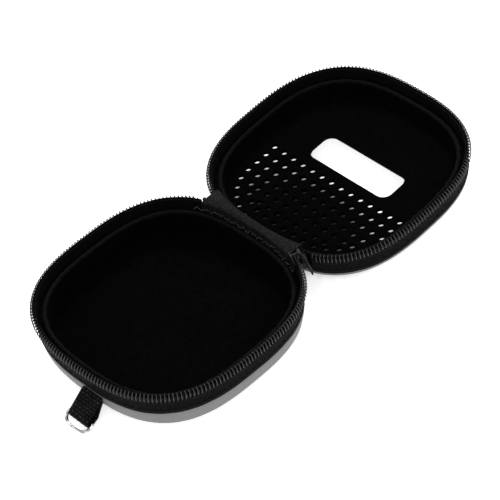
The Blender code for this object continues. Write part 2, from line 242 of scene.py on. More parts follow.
def grid_object(name, grid, place, closed_columns, closed_rows, smooth_angle=40):
    """A skin over a grid of points in millimetres, whose UVs are lengths in millimetres."""
    grid = np.asarray(grid, float)
    columns, rows = grid.shape[:2]
    faces, corners = grid_faces(columns, rows, closed_columns, closed_rows)
    along = run_lengths(grid[:, 0], closed_columns)
    across = run_lengths(grid[0], closed_rows)
    uvs = [(along[i], across[j]) for i, j in corners]
    if not closed_columns and closed_rows:
        for column in (0, columns - 1):
            faces.append([column * rows + j for j in range(rows)])
            uvs += [(along[column], across[j]) for j in range(rows)]
    return make_object(name, place(grid), faces, uvs, smooth_angle)


def swept(name, half, theta, profile, closed_path, wobble=None):
    """A closed profile of (inset, z) carried round the outline. wobble moves its insets."""
    columns = []
    for k, (inset, z) in enumerate(profile):
        shift = 0 if wobble is None else wobble(theta, k)
        columns.append(ring(theta, inset + shift, z))
    return grid_object(name, np.stack(columns, 1), half["place"], closed_path, True)


def arc(cx, cz, radius, start, end, steps):
    """Points of (inset, z) on an arc, its angles in degrees with 180 towards the outside."""
    angles = np.radians(np.linspace(start, end, steps + 1))
    return [(cx + radius * math.cos(a), cz + radius * math.sin(a)) for a in angles]


def circle(x, y, radius, sides):
    turns = TURN * np.arange(sides) / sides
    return [(x + radius * math.cos(a), y + radius * math.sin(a)) for a in turns]


def rounded_band(outer, inner, top, bottom, radius):
    """Profile of a strip with rounded edges, points about every millimetre down its faces."""
    points = []
    for cx, cz, start in ((outer + radius, top - radius, 180), (inner - radius, top - radius, 90),
                          (inner - radius, bottom + radius, 0), (outer + radius, bottom + radius, -90)):
        points += arc(cx, cz, radius, start, start - 90, 3)
    return refine(points, 1.0)


def refine(points, spacing):
    """Add points to a closed profile, so that none of its sides is longer than the spacing."""
    made = []
    for (ax, az), (bx, bz) in zip(points, points[1:] + points[:1]):
        count = max(1, math.ceil(math.hypot(bx - ax, bz - az) / spacing))
        made += [(ax + (bx - ax) * i / count, az + (bz - az) * i / count) for i in range(count)]
    return made


def tube_grid(path, radii_a, radii_b, axis_a, axis_b, sides):
    """Rings round a path: radii_a along axis_a and radii_b along axis_b, one of each per point."""
    turns = TURN * np.arange(sides) / sides
    return (path[:, None] + np.cos(turns)[None, :, None] * (axis_a * radii_a[:, None])[:, None]
            + np.sin(turns)[None, :, None] * (axis_b * radii_b[:, None])[:, None])


def joined(name, parts):
    """One object from several, which keep their UVs."""
    bpy.ops.object.select_all(action="DESELECT")
    for obj in parts:
        obj.select_set(True)
    bpy.context.view_layer.objects.active = parts[0]
    bpy.ops.object.join()
    made = bpy.context.view_layer.objects.active
    made.name = name
    made.data.name = name
    made.select_set(False)
    return made


def dress(obj, body, material, slot, *nodes):
    """Give a piece its material and its body, and hide the CAD nodes it stands for. The last may be none."""
    if material:
        obj.data.materials.clear()
        obj.data.materials.append(material)
    if body:
        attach(obj, body)
    if nodes:
        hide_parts(*nodes)
    return obj


# Materials

class Graph:
    """A Principled material and short ways to add nodes to it."""

    def __init__(self, name, color, roughness, metallic=0.0, specular=0.5):
        self.material = bpy.data.materials.new(name)
        self.material.use_nodes = True
        self.tree = self.material.node_tree
        self.shader = self.tree.nodes["Principled BSDF"]
        self.set(self.shader, {"Base Color": (*color, 1), "Roughness": roughness, "Metallic": metallic,
                               "Specular IOR Level": specular})
        self.material.diffuse_color = (*color, 1)

    def set(self, node, inputs):
        for key, value in inputs.items():
            if isinstance(value, bpy.types.NodeSocket):
                self.tree.links.new(value, node.inputs[key])
            else:
                node.inputs[key].default_value = value

    def add(self, kind, inputs=None, output=0, **settings):
        node = self.tree.nodes.new("ShaderNode" + kind)
        for key, value in settings.items():
            setattr(node, key, value)
        self.set(node, inputs or {})
        return node.outputs[output]

    def math(self, operation, *values):
        return self.add("Math", dict(enumerate(values)), operation=operation)

    def object_mm(self, other=None):
        """Place in millimetres on the piece itself, or in another piece's frame."""
        place = self.add("TexCoord", output="Object", object=other)
        return self.add("VectorMath", {0: place, 1: (1000, 1000, 1000)}, operation="MULTIPLY")

    def uv_mm(self):
        parts = self.tree.nodes.new("ShaderNodeSeparateXYZ")
        self.set(parts, {0: self.add("TexCoord", output="UV")})
        return parts.outputs[0], parts.outputs[1]

    def noise(self, vector, scale, detail=3.0):
        return self.add("TexNoise", {"Vector": vector, "Scale": scale, "Detail": detail})

    def remap(self, value, low, high, from_low=0.0, from_high=1.0):
        return self.add("MapRange", {"Value": value, "From Min": from_low, "From Max": from_high,
                                     "To Min": low, "To Max": high})

    def tint(self, factor, dark, light):
        """Base colour between two greys or colours, by a factor from 0 to 1."""
        mix = self.add("Mix", {"Factor": factor, 6: (*dark, 1), 7: (*light, 1)}, output=2, data_type="RGBA")
        self.set(self.shader, {"Base Color": mix})

    def bump(self, height, millimetres, strength=1.0, before=None):
        inputs = {"Height": height, "Distance": millimetres * MM, "Strength": strength}
        if before is not None:
            inputs["Normal"] = before
        made = self.add("Bump", inputs)
        self.set(self.shader, {"Normal": made})
        return made

    def weave(self, u, v, pitch_u, pitch_v, repeat=4, over=2, slant=1):
        """Height of a cloth whose yarns run along v and u, floating over by a slanted step."""
        a, b = self.math("DIVIDE", u, pitch_u), self.math("DIVIDE", v, pitch_v)
        step = self.math("MULTIPLY", self.math("FLOOR", b), slant)
        turn = self.math("FLOORED_MODULO", self.math("ADD", self.math("FLOOR", a), step), float(repeat))
        on_top = self.math("LESS_THAN", turn, over - 0.5)
        warp = self.math("SINE", self.math("MULTIPLY", self.math("FRACT", a), math.pi))
        weft = self.math("SINE", self.math("MULTIPLY", self.math("FRACT", b), math.pi))
        lowered = self.math("MULTIPLY", weft, 0.75)
        gain = self.math("MULTIPLY", on_top, self.math("SUBTRACT", warp, lowered))
        return self.math("ADD", lowered, gain)


def grey_skin():
    g = Graph("grey_skin", (0.2, 0.2, 0.2), 0.5, specular=0.3)
    place = g.object_mm()
    cells = g.add("TexVoronoi", {"Vector": place, "Scale": 1.6}, feature="DISTANCE_TO_EDGE")
    fine = g.noise(place, 3.5, 2.0)
    broad = g.noise(place, 0.06, 2.0)
    g.tint(broad, (0.128, 0.128, 0.130), (0.156, 0.156, 0.158))
    g.set(g.shader, {"Roughness": g.remap(fine, 0.44, 0.58)})
    first = g.bump(g.math("MINIMUM", cells, 0.25), 0.10, 0.5)
    g.bump(fine, 0.03, 0.5, first)
    return g.material


def dark_core():
    g = Graph("dark_core", (0.002, 0.002, 0.002), 0.9, specular=0.02)
    fine = g.noise(g.object_mm(), 2.0)
    g.tint(fine, (0.0006, 0.0006, 0.0006), (0.002, 0.002, 0.002))
    g.bump(fine, 0.05)
    return g.material


def fleece():
    g = Graph("black_fleece", (0.0015, 0.0015, 0.0015), 0.95, specular=0.02)
    place = g.object_mm()
    pile = g.noise(place, 1.5, 5.0)
    tufts = g.noise(place, 0.45, 3.0)
    broad = g.noise(place, 0.05, 2.0)
    mixed = g.math("ADD", g.math("MULTIPLY", pile, 0.6), g.math("MULTIPLY", tufts, 0.4))
    shade = g.math("MULTIPLY", g.remap(mixed, 0.0, 1.0, 0.38, 0.64), g.remap(broad, 0.5, 1.0, 0.3, 0.7))
    g.tint(shade, (0.0002, 0.0002, 0.0002), (0.0013, 0.0013, 0.00135))
    g.set(g.shader, {"Sheen Weight": 0.002, "Sheen Roughness": 0.45, "Sheen Tint": (0.6, 0.6, 0.62, 1)})
    first = g.bump(tufts, 0.35, 0.6)
    g.bump(pile, 0.22, 0.8, first)
    return g.material


def cloth(name, dark, light, pitch, depth, gap_shade_power=1.6, **weave):
    """Woven cloth with painted shade in the gaps between its yarns, lighter yarn tops, uneven fibres and
    broad worn patches.
    """
    g = Graph(name, light, 0.75, specular=0.06)
    u, v = g.uv_mm()
    height = g.weave(u, v, pitch[0], pitch[1], **weave)
    place = g.object_mm()
    fray = g.noise(place, 1.1, 4.0)
    patches = g.remap(g.noise(place, 0.22, 3.0), 0.3, 1.0, 0.35, 0.65)
    # Painted shade: the colour follows the weave's height, darkest in the gaps between yarns and lightest on
    # their tops.
    yarn = g.math("MULTIPLY", g.math("POWER", height, gap_shade_power), g.remap(fray, 0.3, 1.0, 0.35, 0.65))
    g.tint(g.math("MULTIPLY", yarn, patches), dark, light)
    g.set(g.shader, {"Sheen Weight": 0.004, "Sheen Roughness": 0.4})
    first = g.bump(height, depth, 0.9)
    g.bump(fray, 0.08, 0.5, first)
    return g.material


def ribbed(name, dark, light, pitch, depth):
    """Ribbon with ribs across its length and a finer thread along each."""
    g = Graph(name, light, 0.6, specular=0.08)
    u, v = g.uv_mm()
    rib = g.math("ABSOLUTE", g.math("SINE", g.math("MULTIPLY", u, math.pi / pitch)))
    thread = g.weave(u, v, pitch, 0.8, repeat=2, over=1)
    height = g.math("ADD", g.math("MULTIPLY", rib, 0.3), g.math("MULTIPLY", thread, 0.7))
    fray = g.noise(g.object_mm(), 0.9, 4.0)
    # Painted shade: the colour follows the height of the ribs and threads, darkest in the grooves between
    # them.
    shade = g.math("MULTIPLY", g.math("POWER", height, 2.8), g.remap(fray, 0.1, 1.0, 0.42, 0.6))
    g.tint(shade, dark, light)
    g.set(g.shader, {"Sheen Weight": 0.006, "Sheen Roughness": 0.4})
    first = g.bump(height, depth, 0.9)
    g.bump(fray, 0.06, 0.5, first)
    return g.material


def nylon():
    g = Graph("black_nylon", (0.02, 0.02, 0.021), 0.4, specular=0.35)
    fine = g.noise(g.object_mm(), 0.8)
    g.tint(fine, (0.008, 0.008, 0.0082), (0.034, 0.034, 0.035))
    g.set(g.shader, {"Roughness": g.remap(fine, 0.25, 0.45)})
    g.bump(g.noise(g.object_mm(), 5.0), 0.02, 0.4)
    return g.material


def thread(name, dark, light):
    g = Graph(name, light, 0.6, specular=0.08)
    u, v = g.uv_mm()
    ply = g.math("SINE", g.math("MULTIPLY", g.math("ADD", u, g.math("MULTIPLY", v, 0.8)), TURN / 0.5))
    g.tint(g.remap(ply, 0, 1, -1, 1), dark, light)
    g.bump(ply, 0.03, 0.7)
    return g.material


def lacquer():
    g = Graph("black_metal", (0.006, 0.006, 0.006), 0.45, specular=0.1)
    place = g.object_mm()
    fine = g.noise(place, 2.2, 4.0)
    wear = g.remap(g.noise(place, 0.9, 5.0), 0, 1, 0.58, 0.72)
    g.tint(wear, (0.003, 0.003, 0.003), (0.022, 0.022, 0.023))
    g.set(g.shader, {"Roughness": g.remap(fine, 0.35, 0.55)})
    g.bump(fine, 0.02, 0.5)
    return g.material


def chrome():
    g = Graph("chrome", (0.75, 0.75, 0.76), 0.08, metallic=1.0)
    place = g.object_mm()
    fine = g.noise(place, 1.4, 4.0)
    # Painted reflections: the chrome's colour goes darker and lighter in broad random patches, standing in
    # for the surroundings it mirrors.
    g.tint(g.remap(g.noise(place, 0.45, 1.0), 0, 1, 0.35, 0.6), (0.22, 0.22, 0.23), (0.86, 0.86, 0.86))
    g.set(g.shader, {"Roughness": g.remap(fine, 0.04, 0.16)})
    g.bump(fine, 0.008, 0.5)
    return g.material


def foam():
    g = Graph("foam", (0.02, 0.02, 0.02), 0.95, specular=0.05)
    cells = g.add("TexVoronoi", {"Vector": g.object_mm(), "Scale": 1.4}, feature="DISTANCE_TO_EDGE")
    g.tint(g.remap(cells, 0, 1, 0, 0.4), (0.010, 0.010, 0.010), (0.030, 0.030, 0.030))
    g.bump(cells, 0.2, 0.8)
    return g.material


GREY = grey_skin()
CORE = dark_core()
FLEECE = fleece()
TAPE_CLOTH = cloth("zip_tape", (0.0002, 0.0002, 0.0002), (0.0034, 0.0034, 0.0035), (0.9, 0.75), 0.18)
HINGE_CLOTH = cloth("hinge_cloth", (0.001, 0.001, 0.001), (0.009, 0.009, 0.009), (0.55, 0.55), 0.10,
                    repeat=2, over=1)
RIBBON = ribbed("ribbon", (0.0006, 0.0006, 0.0006), (0.022, 0.022, 0.0225), 0.85, 0.3)
PIPING = cloth("piping", (0.0005, 0.0005, 0.0005), (0.0042, 0.0042, 0.0042), (0.7, 0.6), 0.16, slant=-1)
WEBBING = cloth("webbing", (0.0002, 0.0002, 0.0002), (0.045, 0.045, 0.045), (1.25, 1.0), 0.35,
                gap_shade_power=3.5, repeat=2, over=1)
NYLON = nylon()
THREAD = thread("black_thread", (0.0015, 0.0015, 0.0015), (0.012, 0.012, 0.012))
# A lighter thread for the tacks along the hinge.
BRIGHT_THREAD = thread("pale_tack_thread", (0.012, 0.012, 0.012), (0.085, 0.085, 0.085))
LACQUER = lacquer()
CHROME = chrome()
FOAM = foam()


# Cups, with a flat or domed panel that may have holes

# Offsets round a filling point at which no hole may be.
NEARBY = ((0.0, 0.0), (0.9, 0.0), (-0.9, 0.0), (0.0, 0.9), (0.0, -0.9))


def loop_reach(loop, angles):
    """How far a loop round the origin reaches at each angle."""
    x, y = np.asarray(loop, float).T
    return np.interp(angles, np.arctan2(y, x), np.hypot(x, y), period=TURN)


def panel_triangles(loop, holes, inside_hole, spacing):
    """Triangulate the plan inside a loop and outside the holes. Returns points and triangles."""
    points = list(map(tuple, loop))
    edges = [(i, (i + 1) % len(loop)) for i in range(len(loop))]
    for hole in holes:
        start = len(points)
        points += list(map(tuple, hole))
        edges += [(start + i, start + (i + 1) % len(hole)) for i in range(len(hole))]
    fixed = np.array(points)
    low, high = fixed.min(0), fixed.max(0)
    for i, x in enumerate(np.arange(low[0], high[0], spacing)):
        for y in np.arange(low[1] + (i % 2) * spacing / 2, high[1], spacing):
            if math.hypot(x, y) > loop_reach(loop, math.atan2(y, x)) - spacing * 0.6:
                continue
            if any(inside_hole(x + dx, y + dy) for dx, dy in NEARBY):
                continue
            if np.min(np.hypot(fixed[:, 0] - x, fixed[:, 1] - y)) > spacing * 0.45:
                points.append((x, y))
    made = delaunay_2d_cdt([Vector(p) for p in points], edges, [], 1, 1e-7)
    places = np.array([tuple(v) for v in made[0]])
    triangles = [list(face) for face in made[2] if not inside_hole(*places[list(face)].mean(0))]
    index = {old: new for new, olds in enumerate(made[3]) for old in olds}
    return places, triangles, index


CUP_SPACING = 1.2
PANEL_SPACING = 2.6


def make_cup(name, half, outer, inner, panel_z, dome, holes, inside_hole):
    """A closed cup. outer runs from the rim down to the panel and inner back up to the rim.

    panel_z gives the panel's two heights at its edge, and dome how much lower its middle lies.
    """
    theta = whole_ring(CUP_SPACING)
    count = len(theta)
    verts, faces = [], []
    for inset, z in outer + inner:
        verts += list(ring(theta, inset, z))
    rows = len(outer) + len(inner)
    pairs = [(j, j + 1) for j in range(rows - 1) if j != len(outer) - 1] + [(0, rows - 1)]
    for near, far in pairs:
        for i in range(count):
            k = (i + 1) % count
            faces.append([near * count + i, near * count + k, far * count + k, far * count + i])
    hole_rings = []
    for row, edge_z in ((len(outer) - 1, panel_z[0]), (len(outer), panel_z[1])):
        inset = (outer + inner)[row][0]
        loop = ring(theta, inset, 0.0)[:, :2]
        places, triangles, index = panel_triangles(loop, holes, inside_hole, PANEL_SPACING)
        share = np.hypot(*places.T) / loop_reach(loop, np.arctan2(places[:, 1], places[:, 0]))
        heights = edge_z - dome * (1 - share ** 2)
        start = len(verts)
        verts += [(x, y, z) for (x, y), z in zip(places, heights)]
        same = {index[i]: row * count + i for i in range(count)}
        faces += [[same.get(v, start + v) for v in face] for face in triangles]
        rings, offset = [], count
        for hole in holes:
            rings.append([start + index[offset + i] for i in range(len(hole))])
            offset += len(hole)
        hole_rings.append(rings)
    for low, high in zip(*hole_rings):
        for i in range(len(low)):
            k = (i + 1) % len(low)
            faces.append([low[i], low[k], high[k], high[i]])
    used = sorted({v for face in faces for v in face})
    renumber = {old: new for new, old in enumerate(used)}
    placed = half["place"](np.array([verts[v] for v in used], float))
    return make_object(name, placed, [[renumber[v] for v in face] for face in faces])


def no_hole(x, y):
    return False


def two_tone(obj, second, chosen):
    """Paint the faces that chosen picks, by centre in millimetres and normal, with a second material."""
    obj.data.materials.append(second)
    for polygon in obj.data.polygons:
        if chosen(polygon.center / MM, polygon.normal):
            polygon.material_index = 1


# Shells and linings

HOLE_PITCH = (5.0, 4.85)
HOLE_RADIUS = 1.3
HOLE_SIDES = 20
HOLE_COLUMNS = 14
FIRST_ROW = 3.0
FULL_ROWS = 4
RING_CENTRE = 5.0
RING_FLATTENING = 1.1
WINDOW_HALF = (20.5, 6.7)
WINDOW_Y = -8.6
WINDOW_CORNER = 4.0


def ring_row(inset):
    """A row of holes down one side of the field, round its corner, along its end and back up."""
    across = RING_CENTRE - inset
    turns = np.linspace(0, math.pi / 2, 25)
    side = np.stack([RING_CENTRE - across * np.cos(turns),
                     FULL_ROWS - 1 + (across - RING_FLATTENING) * np.sin(turns)], -1)
    path = np.concatenate([side, side[::-1] * (-1, 1) + (HOLE_COLUMNS - 1, 0)])
    lengths = run_lengths(path, False)
    goals = np.linspace(0, lengths[-1], round(lengths[-1]) + 1)[1:-1]
    return list(map(tuple, points_at(goals, lengths, path)))


def hole_places():
    """Hole centres in the lid's own plan, where y is positive towards the hinge."""
    grid = [(column, row) for row in range(FULL_ROWS) for column in range(HOLE_COLUMNS)]
    grid += [(column, FULL_ROWS) for column in range(2, HOLE_COLUMNS - 2)]
    middle = (HOLE_COLUMNS - 1) / 2
    grid += [(middle + (column - middle) * 0.97, FULL_ROWS + 1) for column in range(3, HOLE_COLUMNS - 3)]
    grid += ring_row(0) + ring_row(1)
    return [((column - middle) * HOLE_PITCH[0], FIRST_ROW + row * HOLE_PITCH[1]) for column, row in grid]


def window_loop(grow=0.0):
    corner = WINDOW_CORNER + grow
    points = []
    for quarter, (sx, sy) in enumerate(((1, 1), (-1, 1), (-1, -1), (1, -1))):
        for a in (quarter + np.linspace(0, 1, 9)) * math.pi / 2:
            points.append((sx * (WINDOW_HALF[0] - WINDOW_CORNER) + corner * math.cos(a),
                           WINDOW_Y + sy * (WINDOW_HALF[1] - WINDOW_CORNER) + corner * math.sin(a)))
    return points


HOLES = np.array(hole_places())


def in_lid_hole(x, y):
    dx, dy = abs(x), abs(y - WINDOW_Y)
    cx, cy = dx - (WINDOW_HALF[0] - WINDOW_CORNER), dy - (WINDOW_HALF[1] - WINDOW_CORNER)
    window = math.hypot(max(cx, 0), max(cy, 0)) < WINDOW_CORNER * 0.985
    return window or bool(np.min(np.hypot(HOLES[:, 0] - x, HOLES[:, 1] - y)) < HOLE_RADIUS * 0.97)


# The grey skin's top, below the rim, and what tells the base's black inside from its skin.
SKIN_TOP = 11.0
BASE_FLOOR_TOP = 1.4
BASE_WALL_MIDDLE = 2.4
LID_WALL_INSIDE = 3.2

# Profile of (inset, z) of both cups from the rim to the step where the grey skin starts.
SHELL_EDGE = [(3.3, -6.15), (3.0, -6.05), (1.9, -6.05), (1.6, -6.2), (1.5, -6.5), (1.45, -8.5), (1.4, -10.95),
              (1.1, -11.12), (0.85, -11.25)]


def make_base_shell():
    outer = SHELL_EDGE + [(0.72, -11.5), (0.7, -12.1), (0.78, -13.0), (0.98, -14.0)]
    outer += arc(7.5, -14.3, 6.3, 184, 270, 16)[1:]
    inner = arc(7.5, -14.8, 3.6, 270, 180, 8) + [(3.65, -10.0), (3.5, -6.4)]
    shell = make_cup("base_shell_skin", BASE, outer, inner, (outer[-1][1], inner[0][1]), 0.0, [], no_hole)
    dress(shell, "base", GREY, "grey_skin", "base_shell")
    two_tone(shell, CORE, lambda centre, normal: centre.z > BASE_DEPTH - SKIN_TOP or inside_base(centre))


def inset_from_origin(x, y):
    """How far a plan point lies inside the outline, measured towards the middle."""
    return np.hypot(*outline_points(np.array(math.atan2(y, x)))) - math.hypot(x, y)


def inside_base(point):
    """True above the floor and further in than the middle of the wall."""
    return point.z > BASE_FLOOR_TOP and inset_from_origin(point.x, point.y) > BASE_WALL_MIDDLE


def make_lid_shell():
    edge = -LID_DEPTH + LID_DOME
    outer = SHELL_EDGE + [(0.75, -11.4)] + arc(2.5, edge + 1.75, 1.75, 184, 268, 10) + [(4.7, edge)]
    inner = [(5.2, edge + 0.95), (4.4, edge + 1.1), (3.8, edge + 1.6), (3.6, edge + 2.4), (3.5, -9.0),
             (3.45, -6.4)]
    holes = [circle(x, y, HOLE_RADIUS, HOLE_SIDES) for x, y in HOLES] + [window_loop()]
    shell = make_cup("lid_shell_skin", LID, outer, inner, (edge, edge + 0.95), LID_DOME, holes, in_lid_hole)
    dress(shell, "lid", GREY, "grey_skin", "lid_shell")
    axis = Vector((0, -math.sin(OPEN_TILT), math.cos(OPEN_TILT)))
    middle = Vector((0, HINGE.y, HINGE.z))

    def dark(centre, normal):
        height = (centre - middle).dot(axis) + RIM_TO_AXIS
        if height > -SKIN_TOP:
            return True
        faces_in = normal.dot(axis) > -0.25 and height > edge - LID_DOME + 0.4
        return faces_in and inset_from_origin(centre.x, plan_y(centre)) >= LID_WALL_INSIDE

    def plan_y(centre):
        offset = centre - middle
        return HINGE.y - offset.y * math.cos(OPEN_TILT) - offset.z * math.sin(OPEN_TILT)

    two_tone(shell, CORE, dark)


def make_lining(half, name, floor_z, dome, corner, holes, inside_hole, *nodes):
    """Fleece glued over the inside of the wall and the floor."""
    outer = [(4.45, -6.0), (4.15, -6.2), (4.05, -6.8), (4.0, -8.0)]
    outer += arc(4.05 + corner, floor_z + corner, corner, 180, 270, 6)
    inner = arc(4.8 + corner - 0.6, floor_z + 0.8 + corner - 0.6, corner - 0.6, 270, 180, 8)
    inner = [(inset, z) for inset, z in inner] + [(4.9, -7.2), (4.8, -6.3), (4.65, -6.05)]
    panel = (outer[-1][1], inner[0][1])
    lining = make_cup(name, half, outer, inner, panel, dome, holes, inside_hole)
    dress(lining, half["name"], FLEECE, "black_fleece", *nodes)


def make_base_pad():
    """Foam sheet with soft edges, between the base's floor and its fleece."""
    low, high = -18.0, -16.4
    outer = arc(8.2, high - 0.7, 0.7, 90, 180, 4) + arc(8.2, low + 0.4, 0.4, 180, 270, 3)
    theta = whole_ring(2.5)
    rows = [ring(theta, inset, z) for inset, z in outer]
    for share in (0.8, 0.5, 0.2):
        rows.append(rows[len(outer) - 1] * (share, share, 1))
    top = [rows[0] * (share, share, 1) + (0, 0, 0.05) for share in (0.2, 0.5, 0.8)]
    pad = grid_object("base_foam_pad", np.stack(top + rows, 1), BASE["place"], True, False)
    bm = bmesh.new()
    bm.from_mesh(pad.data)
    bmesh.ops.holes_fill(bm, edges=[e for e in bm.edges if e.is_boundary], sides=0)
    bm.to_mesh(pad.data)
    bm.free()
    face_out(pad)
    dress(pad, "base", FOAM, "foam", "base_pad")


# Zip

def ripple(amount, wave, seed):
    """Slow waves along the outline, whose finest wave shifts a little from one profile point to the next."""
    phases = np.random.default_rng(seed).uniform(0, TURN, 3)

    def shift(theta, k):
        s = length_at(theta)
        return amount * (np.sin(s * TURN / wave + phases[0]) + 0.6 * np.sin(s * TURN / wave * 2.3 + phases[1])
                         + 0.3 * np.sin(s * TURN / wave * 5.1 + phases[2] + 0.15 * k))
    return shift


def make_tape(half, right_x):
    theta = zip_angles(right_x, TAPE_END, 1.0)
    profile = rounded_band(*TAPE, 0.22)
    tape = swept(half["name"] + "_zip_tape_weave", half, theta, profile, False, ripple(0.035, 17.0, 3))
    dress(tape, half["name"], TAPE_CLOTH, "zip_tape", half["name"] + "_zip_tape")


def coil_line(right_x, phase):
    """Centre line of the coil, whose flattened turns lean inwards over the tape's top edge."""
    first, last = length_at(angle_at(right_x)), length_at(angle_at(COIL_END) - TURN)
    turns = int(abs(last - first) / COIL_PITCH) - 1
    phi = TURN * np.arange(turns * COIL_STEPS + 1) / COIL_STEPS
    s = first - (phi / TURN + phase + 0.5) * COIL_PITCH + COIL_LEAN * np.sin(phi)
    long, short = COIL_AXES[0] * np.sin(phi), COIL_AXES[1] * np.cos(phi)
    c, n = math.cos(COIL_TILT), math.sin(COIL_TILT)
    inset = COIL_MIDDLE[0] + n * long - c * short
    z = COIL_MIDDLE[1] + c * long + n * short
    return theta_at(s), inset, z, np.cos(phi)


def make_coil(half, right_x, phase):
    theta, inset, z, outside = coil_line(right_x, phase)
    path = ring(theta, inset, z)
    tangent = unit(np.gradient(path, axis=0))
    side = unit(np.cross(tangent, outward(theta)))
    up = np.cross(side, tangent)
    wide = STRAND + STRAND_SWELL * np.clip(outside + 0.35, 0, 1)
    coil = grid_object(half["name"] + "_zip_coil_teeth", tube_grid(path, wide, wide + 0.06, side, up, 8),
                       half["place"], False, True, 60)
    coil.data.materials.append(NYLON)
    cord = rounded_band(*COIL_CORE, 0.15)
    core = swept(half["name"] + "_zip_core", half, zip_angles(right_x, COIL_END, 1.2), cord, False)
    core.data.materials.append(CORE)
    coil = joined(half["name"] + "_zip_coil_teeth", [coil, core])
    dress(coil, half["name"], None, "black_nylon", half["name"] + "_zip_coil")


def thread_mesh(name, half, grids, step, rise):
    """One piece of many short tubes, each a grid of rings. step and rise are its UV steps."""
    parts, faces, uvs = [], [], []
    for grid in grids:
        rows, sides = grid.shape[:2]
        tube_faces, corners = grid_faces(rows, sides, False, True)
        start = len(parts) * rows * sides
        parts.append(half["place"](grid).reshape(-1, 3))
        faces += [[start + v for v in face] for face in tube_faces]
        uvs += [(i * step, j * rise) for i, j in corners]
        for column in (0, rows - 1):
            faces.append([start + column * sides + j for j in range(sides)])
            uvs += [(0, j * rise) for j in range(sides)]
    return make_object(name, np.concatenate(parts), faces, uvs, 60)


def stitch_mesh(name, half, centres, length, radius, sag=0.35):
    """Short rounded stitches along the outline: each is (theta, inset, z), ends dipping into the cloth."""
    rows, sides, grids = 7, 6, []
    share = np.linspace(-1, 1, rows)
    swell = radius * np.sqrt(np.clip(1 - share ** 6 * 0.9, 0.05, 1))
    up = np.tile((0.0, 0.0, 1.0), (rows, 1))
    for theta, inset, z in centres:
        th = theta_at(length_at(theta) + share * length / 2)
        path = ring(th, inset + sag * radius * 2 * share ** 4, z)
        grids.append(tube_grid(path, swell, swell, outward(th), up, sides))
    return thread_mesh(name, half, grids, length / (rows - 1), radius)


TICK_RADIUS = 0.25
TICK_TOP = -3.9
TICK_LENGTH = 1.3
TICK_SAG = 0.55


def tick_mesh(name, half, thetas):
    """Short leaning loops of thread that sew the coil to the tape, one for each turn."""
    rows, sides, grids = 6, 6, []
    share = np.linspace(0, 1, rows)
    swell = TICK_RADIUS * np.sqrt(np.clip(1 - (2 * share - 1) ** 6 * 0.8, 0.05, 1))
    for theta in thetas:
        th = theta_at(length_at(theta) - 0.5 * (share - 0.5))
        path = ring(th, 0.05 + TICK_SAG * (2 * share - 1) ** 4, TICK_TOP - TICK_LENGTH * share)
        out = outward(th)
        grids.append(tube_grid(path, swell, swell, out, np.cross(out, (0.0, 0.0, 1.0)), sides))
    return thread_mesh(name, half, grids, 0.25, 0.2)


def make_seam(half, right_x):
    centres = [(t, *SEAM) for t in zip_angles(right_x + 1.0, SEAM_END, 2.7)]
    stitches = stitch_mesh(half["name"] + "_seam_stitches", half, centres, 2.2, 0.17)
    dress(stitches, half["name"], THREAD, "black_thread", half["name"] + "_seam_thread")
    thetas = zip_angles(right_x + 1.0, TICKS_END, COIL_PITCH)
    over = tick_mesh(half["name"] + "_coil_stitches", half, thetas)
    dress(over, half["name"], THREAD, "black_thread")


def taken(bm, place, axes):
    """The mesh's points on axes that start at a place, and its faces. The mesh is freed."""
    verts = [place + axes[0] * v.co.x + axes[1] * v.co.y + axes[2] * v.co.z for v in bm.verts]
    faces = [[v.index for v in f.verts] for f in bm.faces]
    bm.free()
    return np.array(verts), faces


def block(place, axes, low, high, bevel):
    """A rounded box between limits along three axes that start at a place."""
    bm = bmesh.new()
    bmesh.ops.create_cube(bm, size=1)
    for vert in bm.verts:
        vert.co = Vector([a + (b - a) * (co + 0.5) for a, b, co in zip(low, high, vert.co)])
    bmesh.ops.bevel(bm, geom=bm.edges[:], offset=bevel, segments=3, affect="EDGES", profile=0.5)
    return taken(bm, place, axes)


def make_stop(half):
    """Crimped metal clamp at the zip's closed end, with two pressed ribs."""
    place, axes = zip_frame(angle_at(STOP_X))
    pieces = [block(place, axes, (-0.9, -0.28, -3.45), (0.9, 0.98, -0.25), 0.25)]
    pieces += [block(place, axes, (t - 0.16, 0.9, -3.1), (t + 0.16, 1.12, -0.6), 0.09) for t in (-0.4, 0.4)]
    parts = [make_object("stop", half["place"](v), f, None, 50) for v, f in pieces]
    stop = joined(half["name"] + "_zip_stop_clamp", parts)
    dress(stop, half["name"], LACQUER, "black_metal", half["name"] + "_zip_stop")


# Piping and the hinge's fabrics

def make_piping(half):
    theta = whole_ring(0.9)
    twist = ripple(0.07, 6.0, 11)
    profile = circle(*PIPING_LINE, PIPING_RADIUS, 18)
    roll = swept(half["name"] + "_piping_roll", half, theta, profile, True, twist)
    tufts = np.random.default_rng(23).normal(0, 0.07 * MM, (len(roll.data.vertices), 3))
    for vert, shift in zip(roll.data.vertices, tufts):
        vert.co += Vector(shift)
    dress(roll, half["name"], PIPING, "piping", half["name"] + "_piping")


FOLD_RISE = 0.45
TACKS_REACH = 27.0


